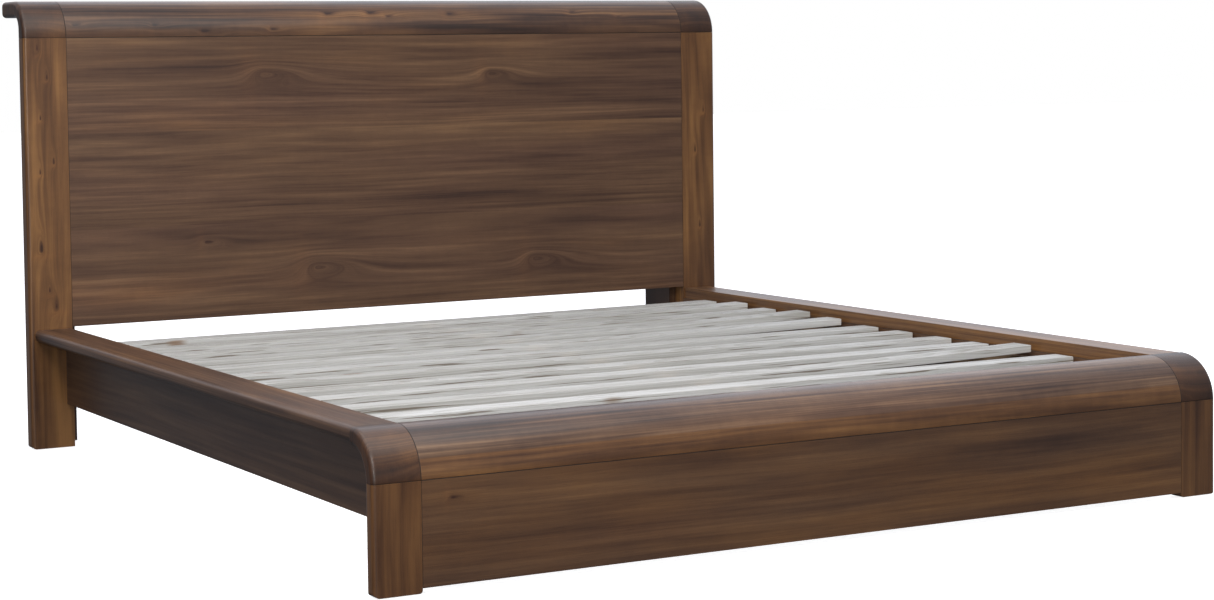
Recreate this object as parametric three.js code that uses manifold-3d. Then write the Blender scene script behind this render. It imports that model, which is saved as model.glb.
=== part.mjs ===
// Low platform sleigh bed for a 1930 x 2030 mm mattress, in millimetres.
// +X runs to the right of someone standing at the foot and looking at the headboard,
// +Y runs from the footboard to the headboard and +Z is up. The origin lies on the floor
// under the centre of the bed's overall box.
//
// The headboard and the footboard each have two uprights, a panel between them, and a
// curled top in three pieces: a rail between two corner blocks. Each side is a fascia
// board with a wide cap on it. Slats lie on ledgers and on a centre beam, whose legs
// stand on screw-in levelling feet.

import * as THREE from 'three';
import { mergeVertices } from 'three/addons/utils/BufferGeometryUtils.js';
import Module from 'manifold-3d';

const wasm = await Module();
wasm.setup();

// ---- Driving dimensions ----

// Clear opening for the mattress, between the side caps and between the two boards.
const openingWidth = 1950;
const openingLength = 2055;

// Headboard.
const headHeight = 1206;
const headOverhang = 114;
const headPostWidth = 118.6;
const headPostThickness = 48;
const headRollRadius = 100;
const headRollDepth = 195;
const headFlangeThickness = 43.5;
const headFlangeEdgeRadius = 13;
const headUnderFillet = 35;
const headPanelRise = 4;
const headPanelThickness = 28;

// Boards that stand behind the head posts and brace them.
const returnDepth = 143;
const returnThickness = 45;
const returnInset = 22;
const returnFloorGap = 10;

// Footboard. Its top is level with the side caps.
const rimHeight = 323;
const footOverhang = 103;
const footLegWidth = 104.4;
const footThickness = 36;
const footRollRadius = 100;
const footRollFlat = 3;
const footPanelBottom = 12;
const footPanelThickness = 26;

// Side rails.
const capWidth = 99;
const capThickness = 32;
const capEdgeRadius = 13;
const railThickness = 20;
const railInset = 5;
const railBottom = 118.5;

// Slat deck.
const deckDrop = 29;
const slatThickness = 18;
const slatWidth = 65;
const slatCount = 12;
const firstSlatGap = 138;
const lastSlatGap = 92;
const slatEndGap = 10;

// How far each slat lies from its even place, and how far its right end has warped up.
const slatDrift = [0, -9, 4, -8, 2, -10, -1, -6, 3, -2, 1, 1];
const slatLift = [4, 13, 7, 15, 8, 0, 0, 0, 0, 13, 0, 0];

// Ledgers, cross rails and centre beam under the slats.
const ledgerThickness = 25;
const ledgerHeight = 40;
const crossRailThickness = 25;
const crossRailHeight = 90;
const headCrossGap = 5;
const beamWidth = 45;
const beamHeight = 70;
const saddleSteel = 2.5;
const saddleLength = 45;

// Centre legs and their levelling feet.
const centreLegCount = 3;
const centreLegWidth = 45;
const centreLegGround = 25;
const studRadius = 5;
const studClearance = 0.08;
const studLength = 45;
const insertRadius = 8;
const insertLength = 15;
const footPadRadius = 20;
const footPadHeight = 8;
const legBoreDepth = 60;

// Glides under the four corners.
const glideHeight = 2;
const glideRadius = 11;

// Hooks that hang each side rail on the uprights, through slots in keeper plates.
const plateWidth = 12;
const plateMargin = 7;
const plateThickness = 3;
const hookSteel = 3;
const hookEndGap = 23;
const hookHeight = 20;
const hookDrop = 8;
const hookReach = 5;
const hookRoom = 1;

// Joinery.
const edgeRadius = 11;
const footCornerRadius = 13;
const legInnerRadius = 7;
const tongueLength = 9;
const tongueThickness = 8;
const tenonLength = 22;
const tenonThickness = 14;
const tenonHeight = 30;
const tenonRise = 9;
const seamGap = 0.2;
const slideFit = 0.4;

// ---- Places worked out from the dimensions ----

const halfOpening = openingWidth / 2;
const headHalfWidth = halfOpening + headOverhang;
const headPostInner = headHalfWidth - headPostWidth;
const footHalfWidth = halfOpening + footOverhang;
const footLegInner = footHalfWidth - footLegWidth;
const footRollDepth = footRollRadius + footRollFlat;
const totalLength = footRollDepth + openingLength + headRollDepth;
const footFace = -totalLength / 2;
const headFace = footFace + footRollDepth + openingLength;
const footOpeningEdge = footFace + footRollDepth;
const headSeam = headHeight - headRollRadius;
const footSeam = rimHeight - footRollRadius;
const railInner = halfOpening - railInset;
const railTop = rimHeight - capThickness - seamGap;
const ledgerInner = railInner - ledgerThickness;
const headPanelBottom = rimHeight + headPanelRise;
const slatTop = rimHeight - deckDrop;
const slatBottom = slatTop - slatThickness;
const slatPitch = (openingLength - firstSlatGap - slatWidth - lastSlatGap) / (slatCount - 1);
const deckSupport = slatBottom - seamGap;
const footCrossBack = footOpeningEdge;
const headCrossBack = headFace - headCrossGap;
const beamFootEnd = footCrossBack + seamGap + saddleSteel + slideFit;
const beamHeadEnd = headCrossBack - crossRailThickness - seamGap - saddleSteel - slideFit;
const beamBottom = deckSupport - beamHeight;

// ---- Materials ----

const walnut = () => new THREE.MeshStandardMaterial({ color: 0x6b4a30, roughness: 0.42, metalness: 0 });
const endWalnut = () => new THREE.MeshStandardMaterial({ color: 0x563626, roughness: 0.34, metalness: 0 });
const veneer = () => new THREE.MeshStandardMaterial({ color: 0x5a4136, roughness: 0.45, metalness: 0 });
const darkBoard = () => new THREE.MeshStandardMaterial({ color: 0x3c2c25, roughness: 0.5, metalness: 0 });
const rawPine = () => new THREE.MeshStandardMaterial({ color: 0xc9c1b2, roughness: 0.75, metalness: 0 });
const framePine = () => new THREE.MeshStandardMaterial({ color: 0xb79f7c, roughness: 0.75, metalness: 0 });
const zincSteel = () => new THREE.MeshStandardMaterial({ color: 0x9a9ca0, roughness: 0.4, metalness: 0.9 });
const blackPlastic = () => new THREE.MeshStandardMaterial({ color: 0x1c1c1d, roughness: 0.6, metalness: 0 });

// ---- Geometry helpers ----

const axisX = new THREE.Vector3(1, 0, 0);
const axisY = new THREE.Vector3(0, 1, 0);
const axisZ = new THREE.Vector3(0, 0, 1);

// A box between two opposite corners.
function block(xs, ys, zs) {
  const geometry = new THREE.BoxGeometry(xs[1] - xs[0], ys[1] - ys[0], zs[1] - zs[0]);
  geometry.translate((xs[0] + xs[1]) / 2, (ys[0] + ys[1]) / 2, (zs[0] + zs[1]) / 2);
  return geometry;
}

// Extrudes a side view, drawn as (Y, Z), along X.
function alongX(shape, xs, curveSegments, bevel = 0) {
  const geometry = new THREE.ExtrudeGeometry(shape, {
    depth: xs[1] - xs[0] - 2 * bevel,
    curveSegments,
    bevelEnabled: bevel > 0,
    bevelThickness: bevel,
    bevelSize: bevel,
    bevelOffset: -bevel,
    bevelSegments: 3,
  });
  geometry.applyMatrix4(new THREE.Matrix4().makeBasis(axisY, axisZ, axisX));
  geometry.translate(xs[0] + bevel, 0, 0);
  return geometry;
}

// Extrudes a front view, drawn as (X, Z), along Y.
function alongY(shape, ys, curveSegments) {
  const options = { depth: ys[1] - ys[0], curveSegments, bevelEnabled: false };
  const geometry = new THREE.ExtrudeGeometry(shape, options);
  const back = axisY.clone().negate();
  geometry.applyMatrix4(new THREE.Matrix4().makeBasis(axisX, axisZ, back));
  geometry.translate(0, ys[1], 0);
  return geometry;
}

// Extrudes a plan view, drawn as (X, Y), along Z.
function alongZ(shape, zs, curveSegments) {
  const options = { depth: zs[1] - zs[0], curveSegments, bevelEnabled: false };
  const geometry = new THREE.ExtrudeGeometry(shape, options);
  geometry.translate(0, 0, zs[0]);
  return geometry;
}

// Turns a profile of (radius, Z) points round a vertical line through (x, y).
function turned(points, x, y) {
  const profile = points.map(([radius, z]) => new THREE.Vector2(radius, z));
  const geometry = new THREE.LatheGeometry(profile, 24);
  geometry.rotateX(Math.PI / 2);
  geometry.translate(x, y, 0);
  return geometry;
}

function toSolid(geometry) {
  const bare = new THREE.BufferGeometry();
  bare.setAttribute('position', geometry.getAttribute('position'));
  bare.setIndex(geometry.index);
  const merged = mergeVertices(bare, 1e-4);
  const vertProperties = merged.getAttribute('position').array;
  const triVerts = merged.index.array;
  return new wasm.Manifold(new wasm.Mesh({ numProp: 3, vertProperties, triVerts }));
}

function toGeometry(solid) {
  const mesh = solid.getMesh();
  const geometry = new THREE.BufferGeometry();
  geometry.setAttribute('position', new THREE.BufferAttribute(mesh.vertProperties, 3));
  geometry.setIndex(new THREE.BufferAttribute(mesh.triVerts, 1));
  return geometry;
}

function join(first, ...others) {
  return toGeometry(others.reduce((sum, other) => sum.add(toSolid(other)), toSolid(first)));
}

function cut(first, ...tools) {
  return toGeometry(tools.reduce((rest, tool) => rest.subtract(toSolid(tool)), toSolid(first)));
}

function common(first, second) {
  return toGeometry(toSolid(first).intersect(toSolid(second)));
}

// The same piece on the left side, with its faces still pointing out.
function mirrored(geometry) {
  const copy = geometry.index ? geometry.clone() : mergeVertices(geometry);
  copy.scale(-1, 1, 1);
  const index = copy.index.array;
  for (let i = 0; i < index.length; i += 3) {
    const second = index[i + 1];
    index[i + 1] = index[i + 2];
    index[i + 2] = second;
  }
  return copy;
}

const bed = new THREE.Group();

function add(name, geometry, material) {
  const flat = geometry.index ? geometry.toNonIndexed() : geometry;
  flat.computeVertexNormals();
  const mesh = new THREE.Mesh(flat, material);
  mesh.name = name;
  bed.add(mesh);
}

// Adds a right-hand piece and its mirror image.
function addPair(name, geometry, material) {
  add(`${name}_right`, geometry, material());
  add(`${name}_left`, mirrored(geometry), material());
}

// ---- Curled top of the headboard ----

// Side view of the headboard's curl: a quarter round in front, a level flange behind it
// and a concave fillet under the flange. `below` lengthens it down past the seam.
function headRollShape(below) {
  const back = headFace + headPostThickness;
  const rear = headFace + headRollDepth;
  const underside = headHeight - headFlangeThickness;
  const round = headFlangeEdgeRadius;
  const shape = new THREE.Shape();
  shape.moveTo(headFace, headSeam - below);
  shape.lineTo(headFace, headSeam);
  shape.absarc(headFace + headRollRadius, headSeam, headRollRadius, Math.PI, Math.PI / 2, true);
  shape.absarc(rear - round, headHeight - round, round, Math.PI / 2, 0, true);
  shape.absarc(rear - round, underside + round, round, 0, -Math.PI / 2, true);
  const filletY = back + headUnderFillet;
  const filletZ = underside - headUnderFillet;
  shape.absarc(filletY, filletZ, headUnderFillet, Math.PI / 2, Math.PI, false);
  shape.lineTo(back, headSeam - below);
  shape.closePath();
  return shape;
}

// Tenon on each end of a curled top rail, and the mortise for it in the corner block.
function rollTenon(face, seam, offset, inner, clearance) {
  const reach = inner + tenonLength + clearance;
  const near = face + offset - clearance;
  const far = face + offset + tenonThickness + clearance;
  const low = seam + tenonRise - clearance;
  const high = seam + tenonRise + tenonHeight + clearance;
  return block([inner - tenonLength, reach], [near, far], [low, high]);
}

// Tenon under a corner block, and the mortise for it in the upright.
function uprightTenon(inner, outer, face, thickness, seam, clearance) {
  const middle = (inner + outer) / 2;
  const half = tenonHeight / 2 + clearance;
  const depth = (thickness - tenonThickness) / 2;
  const ys = [face + depth - clearance, face + depth + tenonThickness + clearance];
  return block([middle - half, middle + half], ys, [seam - tenonLength - clearance, seam + 5]);
}

const headTenonOffset = (headPostThickness - tenonThickness) / 2 + 7;
const footTenonOffset = (footThickness - tenonThickness) / 2 + 3;

// The panel's tongue runs down both sides and along the top, and fits grooves.
function panelTongue(face, thickness, inner, bottom, seam, clearance) {
  const middle = face + thickness / 2;
  const half = tongueThickness / 2 + clearance;
  const reach = inner + tongueLength + clearance;
  const ys = [middle - half, middle + half];
  return block([-reach, reach], ys, [bottom - clearance, seam + tongueLength + clearance]);
}

const headTongue = (clearance) =>
  panelTongue(headFace, headPanelThickness, headPostInner, headPanelBottom, headSeam, clearance);
const footTongue = (clearance) =>
  panelTongue(footFace, footPanelThickness, footLegInner, footPanelBottom, footSeam, clearance);

function addHeadboard() {
  const below = 2 * edgeRadius;
  const shape = headRollShape(below);
  const rollYs = [headFace - 1, headFace + headRollDepth + 1];

  const cornerXs = [headPostInner + seamGap, headHalfWidth];
  const rounded = alongX(shape, [headPostInner - 60, headHalfWidth], 6, edgeRadius);
  const cornerBody = common(rounded, block(cornerXs, rollYs, [headSeam + seamGap, headHeight + 1]));
  const post = [headPostInner, headHalfWidth, headFace, headPostThickness, headSeam];
  const corner = cut(
    join(cornerBody, uprightTenon(...post, 0)),
    rollTenon(headFace, headSeam, headTenonOffset, headPostInner, slideFit),
    headTongue(slideFit),
  );
  addPair('headboard_corner', corner, endWalnut);

  const railXs = [-headPostInner, headPostInner];
  const railBox = block(railXs, rollYs, [headSeam + seamGap, headHeight + 1]);
  const railBody = common(alongX(shape, railXs, 8), railBox);
  const tenon = rollTenon(headFace, headSeam, headTenonOffset, headPostInner, 0);
  add('headboard_top_rail', cut(join(railBody, tenon, mirrored(tenon)), headTongue(slideFit)), walnut());

  addPair('headboard_post', headPost(post), walnut);

  const face = [headFace, headFace + headPanelThickness];
  const width = headPostInner - seamGap;
  const board = block([-width, width], face, [headPanelBottom, headSeam]);
  add('headboard_panel', join(board, headTongue(0)), veneer());

  addPair('headboard_return', headReturn(), darkBoard);
}

// Head post: its outer front edge and its outer lower corner are rounded.
function headPost(post) {
  const back = headFace + headPostThickness;
  const plan = new THREE.Shape();
  plan.moveTo(headPostInner, headFace);
  plan.lineTo(headHalfWidth - edgeRadius, headFace);
  plan.absarc(headHalfWidth - edgeRadius, headFace + edgeRadius, edgeRadius, -Math.PI / 2, 0, false);
  plan.absarc(headHalfWidth - edgeRadius, back - edgeRadius, edgeRadius, 0, Math.PI / 2, false);
  plan.lineTo(headPostInner, back);
  plan.closePath();
  const front = uprightFront(headPostInner, headHalfWidth, headSeam, 0);
  const ys = [headFace - 1, back + 1];
  const body = common(alongZ(plan, [0, headSeam], 3), alongY(front, ys, 3));
  return cut(body, uprightTenon(...post, slideFit), headTongue(slideFit), ...keeperRecess(headFace, 1));
}

// Front view of an upright, from its glide to its seam.
function uprightFront(inner, outer, seam, innerRadius) {
  const shape = new THREE.Shape();
  shape.moveTo(outer - footCornerRadius, glideHeight);
  const roundZ = glideHeight + footCornerRadius;
  shape.absarc(outer - footCornerRadius, roundZ, footCornerRadius, -Math.PI / 2, 0, false);
  shape.lineTo(outer, seam);
  shape.lineTo(inner, seam);
  if (innerRadius > 0) {
    shape.absarc(inner + innerRadius, glideHeight + innerRadius, innerRadius, Math.PI, 1.5 * Math.PI, false);
  } else {
    shape.lineTo(inner, glideHeight);
  }
  shape.closePath();
  return shape;
}

// Brace behind a head post. Its top follows the fillet under the flange.
function headReturn() {
  const front = headFace + headPostThickness + seamGap;
  const back = front + returnDepth;
  const underside = headHeight - headFlangeThickness - seamGap;
  const shape = new THREE.Shape();
  shape.moveTo(front, returnFloorGap);
  shape.lineTo(back, returnFloorGap);
  shape.lineTo(back, underside);
  shape.absarc(front + headUnderFillet, underside - headUnderFillet, headUnderFillet, Math.PI / 2, Math.PI, false);
  shape.closePath();
  const inner = headPostInner - returnInset;
  return alongX(shape, [inner, inner + returnThickness], 4);
}

// ---- Footboard ----

// Side view of the footboard's curl. It runs `below` past its seam and `beyond` past its
// inner edge, and its hollow side is thicker by `clearance`.
function footRollShape(below, beyond, clearance) {
  const centre = footFace + footRollRadius;
  const thickness = footThickness + clearance;
  const shape = new THREE.Shape();
  shape.moveTo(footFace, footSeam - below);
  shape.lineTo(footFace, footSeam);
  shape.absarc(centre, footSeam, footRollRadius, Math.PI, Math.PI / 2, true);
  shape.lineTo(footOpeningEdge + beyond, rimHeight);
  shape.lineTo(footOpeningEdge + beyond, rimHeight - thickness);
  shape.absarc(centre, footSeam, footRollRadius - thickness, Math.PI / 2, Math.PI, false);
  shape.lineTo(footFace + thickness, footSeam - below);
  shape.closePath();
  return shape;
}

// The footboard's curl with its seam gap, for coping what ends under it.
function footCurl(from, to) {
  return alongX(footRollShape(0, seamGap, seamGap), [from, to], 8);
}

function addFootboard() {
  const extra = 2 * edgeRadius;
  const shape = footRollShape(extra, extra, 0);
  const rollYs = [footFace - 1, footOpeningEdge];
  const rollZs = [footSeam + seamGap, rimHeight + 1];
  const leg = [footLegInner, footHalfWidth, footFace, footThickness, footSeam];

  const rounded = alongX(shape, [footLegInner - 60, footHalfWidth], 6, edgeRadius);
  const cornerBody = common(rounded, block([footLegInner + seamGap, footHalfWidth], rollYs, rollZs));
  const corner = cut(
    join(cornerBody, uprightTenon(...leg, 0)),
    rollTenon(footFace, footSeam, footTenonOffset, footLegInner, slideFit),
    footTongue(slideFit),
  );
  addPair('footboard_corner', corner, endWalnut);

  const railXs = [-footLegInner, footLegInner];
  const railBody = common(alongX(shape, railXs, 8), block(railXs, rollYs, rollZs));
  const tenon = rollTenon(footFace, footSeam, footTenonOffset, footLegInner, 0);
  add('footboard_top_rail', cut(join(railBody, tenon, mirrored(tenon)), footTongue(slideFit)), walnut());

  const back = footFace + footThickness;
  const plan = new THREE.Shape();
  plan.moveTo(footLegInner, footFace);
  plan.lineTo(footHalfWidth - edgeRadius, footFace);
  plan.absarc(footHalfWidth - edgeRadius, footFace + edgeRadius, edgeRadius, -Math.PI / 2, 0, false);
  plan.absarc(footHalfWidth - edgeRadius, back - edgeRadius, edgeRadius, 0, Math.PI / 2, false);
  plan.lineTo(footLegInner, back);
  plan.closePath();
  const front = uprightFront(footLegInner, footHalfWidth, footSeam, legInnerRadius);
  const body = common(alongZ(plan, [0, footSeam], 3), alongY(front, [footFace - 1, back + 1], 3));
  const tools = [uprightTenon(...leg, slideFit), footTongue(slideFit), ...keeperRecess(back, -1)];
  addPair('footboard_leg', cut(body, ...tools), walnut);

  const width = footLegInner - seamGap;
  const face = [footFace, footFace + footPanelThickness];
  const board = block([-width, width], face, [footPanelBottom, footSeam]);
  add('footboard_panel', join(board, footTongue(0)), veneer());
}

// ---- Side rails and their hooks ----

const hookX = (Math.max(railInner, footLegInner, headPostInner) + railInner + railThickness) / 2;
const plateZs = [railBottom + plateMargin, footSeam - plateMargin];
const hookZs = [plateZs[0] + hookEndGap, plateZs[1] - hookEndGap];

// A box at an upright's face. `into` is 1 where the upright lies towards +Y and -1 where it
// lies towards -Y, and the depths are measured into the upright.
function atFace(face, into, halfWidth, depths, zs) {
  const ys = [face + into * depths[0], face + into * depths[1]].sort((a, b) => a - b);
  return block([hookX - halfWidth, hookX + halfWidth], ys, zs);
}

// Recess for the keeper plate, with a deeper pocket for the hooks behind it.
function keeperRecess(face, into) {
  const recessZs = [plateZs[0] - slideFit, plateZs[1] + slideFit];
  const pocketZs = [hookZs[0] - hookHeight, hookZs[1] + hookHeight];
  const pocketDepth = plateThickness + hookRoom + hookReach + hookRoom;
  return [
    atFace(face, into, plateWidth / 2 + slideFit, [-1, plateThickness + seamGap], recessZs),
    atFace(face, into, hookSteel / 2 + hookRoom, [0, pocketDepth], pocketZs),
  ];
}

// Keeper plate, flush with the upright's face, with a slot for each hook.
function keeper(face, into) {
  const plate = atFace(face, into, plateWidth / 2, [0, plateThickness], plateZs);
  const slots = hookZs.map((z) => {
    const zs = [z - hookHeight / 2 + hookDrop - seamGap, z + hookHeight / 2 + hookDrop + seamGap];
    return atFace(face, into, hookSteel / 2 + slideFit, [-1, plateThickness + 1], zs);
  });
  return cut(plate, ...slots);
}

// Hook plate, let into the end of the fascia, with two hooks that drop behind the keeper.
function hookPlate(face, into) {
  const plate = atFace(face, into, plateWidth / 2, [-seamGap - plateThickness, -seamGap], plateZs);
  const neckEnd = plateThickness + hookRoom / 2;
  const hooks = hookZs.flatMap((z) => {
    const top = z + hookHeight / 2;
    const bottom = z - hookHeight / 2;
    return [
      atFace(face, into, hookSteel / 2, [-2 * seamGap, neckEnd + 1], [bottom + hookDrop, top]),
      atFace(face, into, hookSteel / 2, [neckEnd, neckEnd + hookReach], [bottom, top]),
    ];
  });
  return join(plate, ...hooks);
}

function addSides() {
  const capInner = halfOpening;
  const capOuter = halfOpening + capWidth;
  const capBottom = rimHeight - capThickness;
  const round = capEdgeRadius;
  const profile = new THREE.Shape();
  profile.moveTo(capInner, capBottom);
  profile.lineTo(capOuter - round, capBottom);
  profile.absarc(capOuter - round, capBottom + round, round, -Math.PI / 2, 0, false);
  profile.absarc(capOuter - round, rimHeight - round, round, 0, Math.PI / 2, false);
  profile.lineTo(capInner, rimHeight);
  profile.closePath();
  const capYs = [footOpeningEdge + seamGap, headFace - seamGap];
  addPair('side_cap', alongY(profile, capYs, 4), walnut);

  const legBack = footFace + footThickness;
  const railYs = [legBack + seamGap, headFace - seamGap];
  const board = block([railInner, railInner + railThickness], railYs, [railBottom, railTop]);
  const letInZs = [plateZs[0] - slideFit, plateZs[1] + slideFit];
  const letIn = [-seamGap - plateThickness - seamGap, 1];
  const fascia = cut(
    board,
    footCurl(railInner - 1, capOuter),
    atFace(headFace, 1, plateWidth / 2 + slideFit, letIn, letInZs),
    atFace(legBack, -1, plateWidth / 2 + slideFit, letIn, letInZs),
  );
  addPair('side_rail', fascia, veneer);

  addPair('rail_hook_head', hookPlate(headFace, 1), zincSteel);
  addPair('rail_hook_foot', hookPlate(legBack, -1), zincSteel);
  addPair('rail_keeper_head', keeper(headFace, 1), zincSteel);
  addPair('rail_keeper_foot', keeper(legBack, -1), zincSteel);

  const ledgerXs = [ledgerInner, railInner - seamGap];
  const ledgerYs = [footOpeningEdge - crossRailThickness, headCrossBack];
  const ledger = block(ledgerXs, ledgerYs, [deckSupport - ledgerHeight, deckSupport]);
  addPair('slat_ledger', cut(ledger, footCurl(ledgerInner - 1, railInner)), framePine);
}

// ---- Slat deck ----

// A loose slat: level over the left ledger and the beam, and bowed up to its right end.
function slat(backEdge, lift) {
  const half = railInner - slatEndGap;
  const bowStart = beamWidth / 2;
  const steps = 6;
  const rise = (x) => lift * ((x - bowStart) / (half - bowStart)) ** 2;
  const shape = new THREE.Shape();
  shape.moveTo(-half, slatBottom);
  for (let i = 0; i <= steps; i += 1) {
    const x = bowStart + ((half - bowStart) * i) / steps;
    shape.lineTo(x, slatBottom + rise(x));
  }
  for (let i = steps; i >= 0; i -= 1) {
    const x = bowStart + ((half - bowStart) * i) / steps;
    shape.lineTo(x, slatTop + rise(x));
  }
  shape.lineTo(-half, slatTop);
  shape.closePath();
  return alongY(shape, [backEdge - slatWidth, backEdge], 1);
}

function addSlats() {
  for (let i = 0; i < slatCount; i += 1) {
    const backEdge = headFace - firstSlatGap - slatPitch * i + slatDrift[i];
    add(`slat_${String(i + 1).padStart(2, '0')}`, slat(backEdge, slatLift[i]), rawPine());
  }
}

// ---- Centre support ----

// Cross rail between the ledgers, with `back` its face towards the headboard.
function crossRail(back) {
  const half = ledgerInner - seamGap;
  const zs = [deckSupport - crossRailHeight, deckSupport];
  return block([-half, half], [back - crossRailThickness, back], zs);
}

// Steel saddle on a cross rail's face, holding the beam's end from below and both sides.
function saddle(face, into) {
  const inner = beamWidth / 2 + slideFit;
  const outer = inner + saddleSteel;
  const floor = beamBottom - seamGap;
  const top = beamBottom + beamHeight * 0.6;
  const faceY = face + into * seamGap;
  const ys = (depths) => depths.map((depth) => faceY + into * depth).sort((a, b) => a - b);
  const along = ys([0, saddleLength]);
  return join(
    block([-outer, outer], ys([0, saddleSteel]), [floor - saddleSteel, top]),
    block([-outer, outer], along, [floor - saddleSteel, floor]),
    block([-outer, -inner], along, [floor - saddleSteel, top]),
    block([inner, outer], along, [floor - saddleSteel, top]),
  );
}

// Centre leg, bored from below for its threaded insert and for the stud above it.
function centreLeg(y) {
  const half = centreLegWidth / 2;
  const top = beamBottom - seamGap;
  const body = block([-half, half], [y - half, y + half], [centreLegGround, top]);
  const insertBore = insertRadius + seamGap;
  const studBore = studRadius + 2;
  const insertTop = centreLegGround + insertLength + seamGap;
  const bore = turned(
    [
      [0, centreLegGround - 1],
      [insertBore, centreLegGround - 1],
      [insertBore, insertTop],
      [studBore, insertTop],
      [studBore, centreLegGround + legBoreDepth],
      [0, centreLegGround + legBoreDepth],
    ],
    0,
    y,
  );
  return cut(body, bore);
}

// Threaded insert, with the stud's running clearance.
function insert(y) {
  const inner = studRadius + studClearance;
  return turned(
    [
      [inner, centreLegGround],
      [insertRadius, centreLegGround],
      [insertRadius, centreLegGround + insertLength],
      [inner, centreLegGround + insertLength],
      [inner, centreLegGround],
    ],
    0,
    y,
  );
}

// Levelling foot: a round pad with its stud.
function levellingFoot(y) {
  const edge = 2;
  return turned(
    [
      [0, 0],
      [footPadRadius - edge, 0],
      [footPadRadius, edge],
      [footPadRadius, footPadHeight - edge],
      [footPadRadius - edge, footPadHeight],
      [studRadius, footPadHeight],
      [studRadius, footPadHeight + studLength],
      [0, footPadHeight + studLength],
    ],
    0,
    y,
  );
}

function addCentreSupport() {
  add('cross_rail_head', crossRail(headCrossBack), framePine());
  const footRail = cut(crossRail(footCrossBack), footCurl(-ledgerInner, ledgerInner));
  add('cross_rail_foot', footRail, framePine());
  const beamXs = [-beamWidth / 2, beamWidth / 2];
  add('centre_beam', block(beamXs, [beamFootEnd, beamHeadEnd], [beamBottom, deckSupport]), framePine());
  add('beam_saddle_head', saddle(headCrossBack - crossRailThickness, -1), zincSteel());
  add('beam_saddle_foot', saddle(footCrossBack, 1), zincSteel());
  const spacing = (beamHeadEnd - beamFootEnd) / (centreLegCount + 1);
  for (let i = 1; i <= centreLegCount; i += 1) {
    const y = beamFootEnd + spacing * i;
    add(`centre_leg_${i}`, centreLeg(y), framePine());
    add(`leg_insert_${i}`, insert(y), zincSteel());
    add(`levelling_foot_${i}`, levellingFoot(y), blackPlastic());
  }
}

// ---- Glides ----

function glide(x, y) {
  const edge = 0.8;
  return turned(
    [
      [0, 0],
      [glideRadius - edge, 0],
      [glideRadius, edge],
      [glideRadius, glideHeight - seamGap],
      [0, glideHeight - seamGap],
    ],
    x,
    y,
  );
}

function addGlides() {
  const headX = (headPostInner + headHalfWidth) / 2;
  const footX = (footLegInner + footHalfWidth) / 2;
  addPair('glide_head', glide(headX, headFace + headPostThickness / 2), blackPlastic);
  addPair('glide_foot', glide(footX, footFace + footThickness / 2), blackPlastic);
}

addHeadboard();
addFootboard();
addSides();
addSlats();
addCentreSupport();
addGlides();

export default bed;
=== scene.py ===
"""Looks of a low walnut sleigh bed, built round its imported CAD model.

Everything is in metres, in the CAD model's frame: +X runs to the right of someone who
stands at the foot and looks at the headboard, +Y runs from the footboard to the
headboard, and +Z is up.
"""

import math

import bmesh
import bpy
from mathutils import Matrix, Vector


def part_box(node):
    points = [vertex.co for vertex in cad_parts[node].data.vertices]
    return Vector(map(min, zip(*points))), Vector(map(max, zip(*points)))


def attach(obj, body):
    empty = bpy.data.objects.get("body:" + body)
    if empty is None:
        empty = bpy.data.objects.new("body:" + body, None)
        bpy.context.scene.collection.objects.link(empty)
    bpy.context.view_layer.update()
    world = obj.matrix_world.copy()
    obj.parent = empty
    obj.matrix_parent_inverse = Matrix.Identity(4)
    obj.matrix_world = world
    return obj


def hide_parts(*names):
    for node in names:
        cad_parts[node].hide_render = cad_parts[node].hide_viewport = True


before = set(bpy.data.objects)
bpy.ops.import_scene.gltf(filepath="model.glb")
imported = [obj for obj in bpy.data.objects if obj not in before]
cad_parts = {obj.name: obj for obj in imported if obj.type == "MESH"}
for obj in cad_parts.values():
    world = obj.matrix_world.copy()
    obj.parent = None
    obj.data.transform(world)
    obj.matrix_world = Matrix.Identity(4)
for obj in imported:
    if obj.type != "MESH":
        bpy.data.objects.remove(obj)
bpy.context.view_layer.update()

BODY = "bed_frame"
SIDES = (("left", -1), ("right", 1))

# Radii and gaps of the CAD model, which its boxes don't give.
HEAD_ROLL_RADIUS = 0.100
HEAD_FLANGE = 0.0435
HEAD_FLANGE_ROUND = 0.013
HEAD_FILLET = 0.035
FOOT_ROLL_RADIUS = 0.100
END_ROUND = 0.011
CAP_ROUND = 0.013
OUTER_TOE_ROUND = 0.013
INNER_TOE_ROUND = 0.007
SEAM_GAP = 0.0002
SLAT_THICKNESS = 0.018
SLAT_PITCH = 0.160
BEAM_HALF_WIDTH = 0.0225

# Widths of the small bevels along the walnut's and the slats' edges.
ARRIS = 0.0009
SLAT_ARRIS = 0.0014

# How near a joint's plane a bevel lies to belong to the joint.
JOINT_REACH = 0.0015


# ---- Camera, lights and floor ----


def add_camera():
    """A long lens, a little above the headboard's height, off the left of the foot."""
    heading = math.radians(28.126)
    pitch = math.radians(-2.896)
    roll = math.radians(-0.773)
    data = bpy.data.cameras.new("camera")
    data.sensor_width = 36.0
    data.lens = 73.49
    data.shift_x = 0.0721
    data.shift_y = -0.0981
    data.clip_end = 200.0
    turn = Matrix.Rotation(-heading, 4, "Z")
    tilt = Matrix.Rotation(math.pi / 2 + pitch, 4, "X")
    camera = bpy.data.objects.new("camera", data)
    bpy.context.scene.collection.objects.link(camera)
    place = Matrix.Translation((-3.0441, -5.4698, 1.0422))
    camera.matrix_world = place @ turn @ tilt @ Matrix.Rotation(roll, 4, "Z")
    bpy.context.scene.camera = camera


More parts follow.
